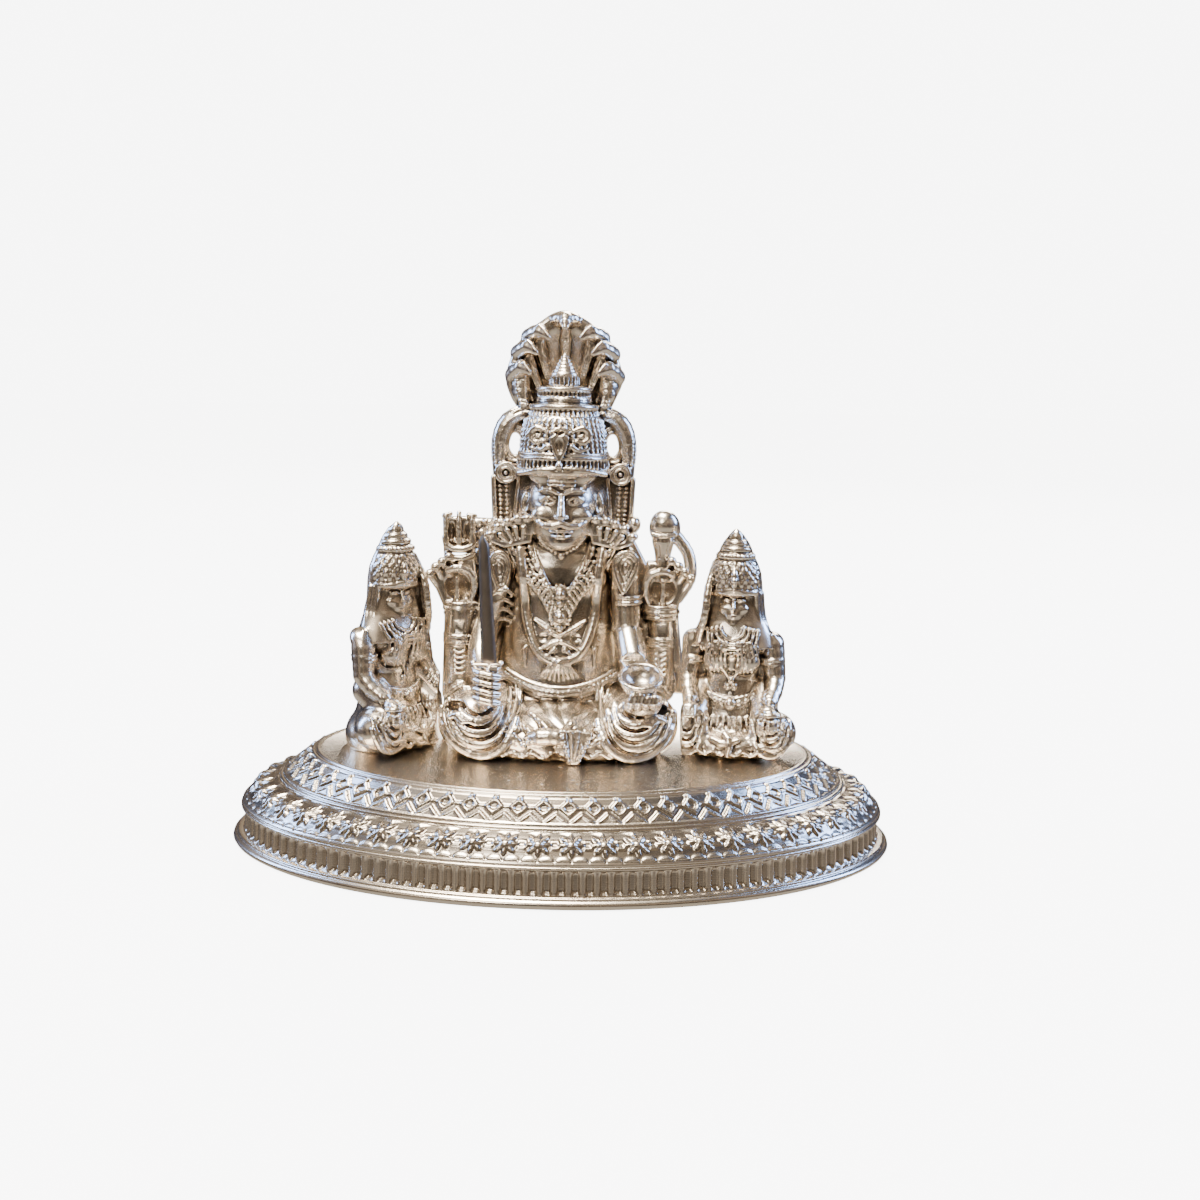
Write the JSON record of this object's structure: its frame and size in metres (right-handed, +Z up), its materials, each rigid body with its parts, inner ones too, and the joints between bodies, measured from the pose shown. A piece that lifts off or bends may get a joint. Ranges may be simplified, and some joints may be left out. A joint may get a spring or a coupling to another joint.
{
  "type": "silver hindu deity idol",
  "caption": "Small polished silver shrine group: four-armed seated figure under a seven-headed serpent hood with sword and bowl, between two seated attendants on an oval tiered plinth.",
  "frame": {"origin": "centre of the oval plinth's underside, on the surface it stands on", "axes": "+X along the plinth's long axis to the viewer's right, +Y away from the viewer, +Z up through the central figure's crown"},
  "size_m": [0.076, 0.0466, 0.0602],
  "materials": {
    "silver": "polished",
    "blade": "dull"
  },
  "bodies": {
    "root": {"plinth": "silver", "central_deity": "silver", "left_attendant": "silver", "right_attendant": "silver", "sword_blade": "blade"}
  },
  "joints": []
}
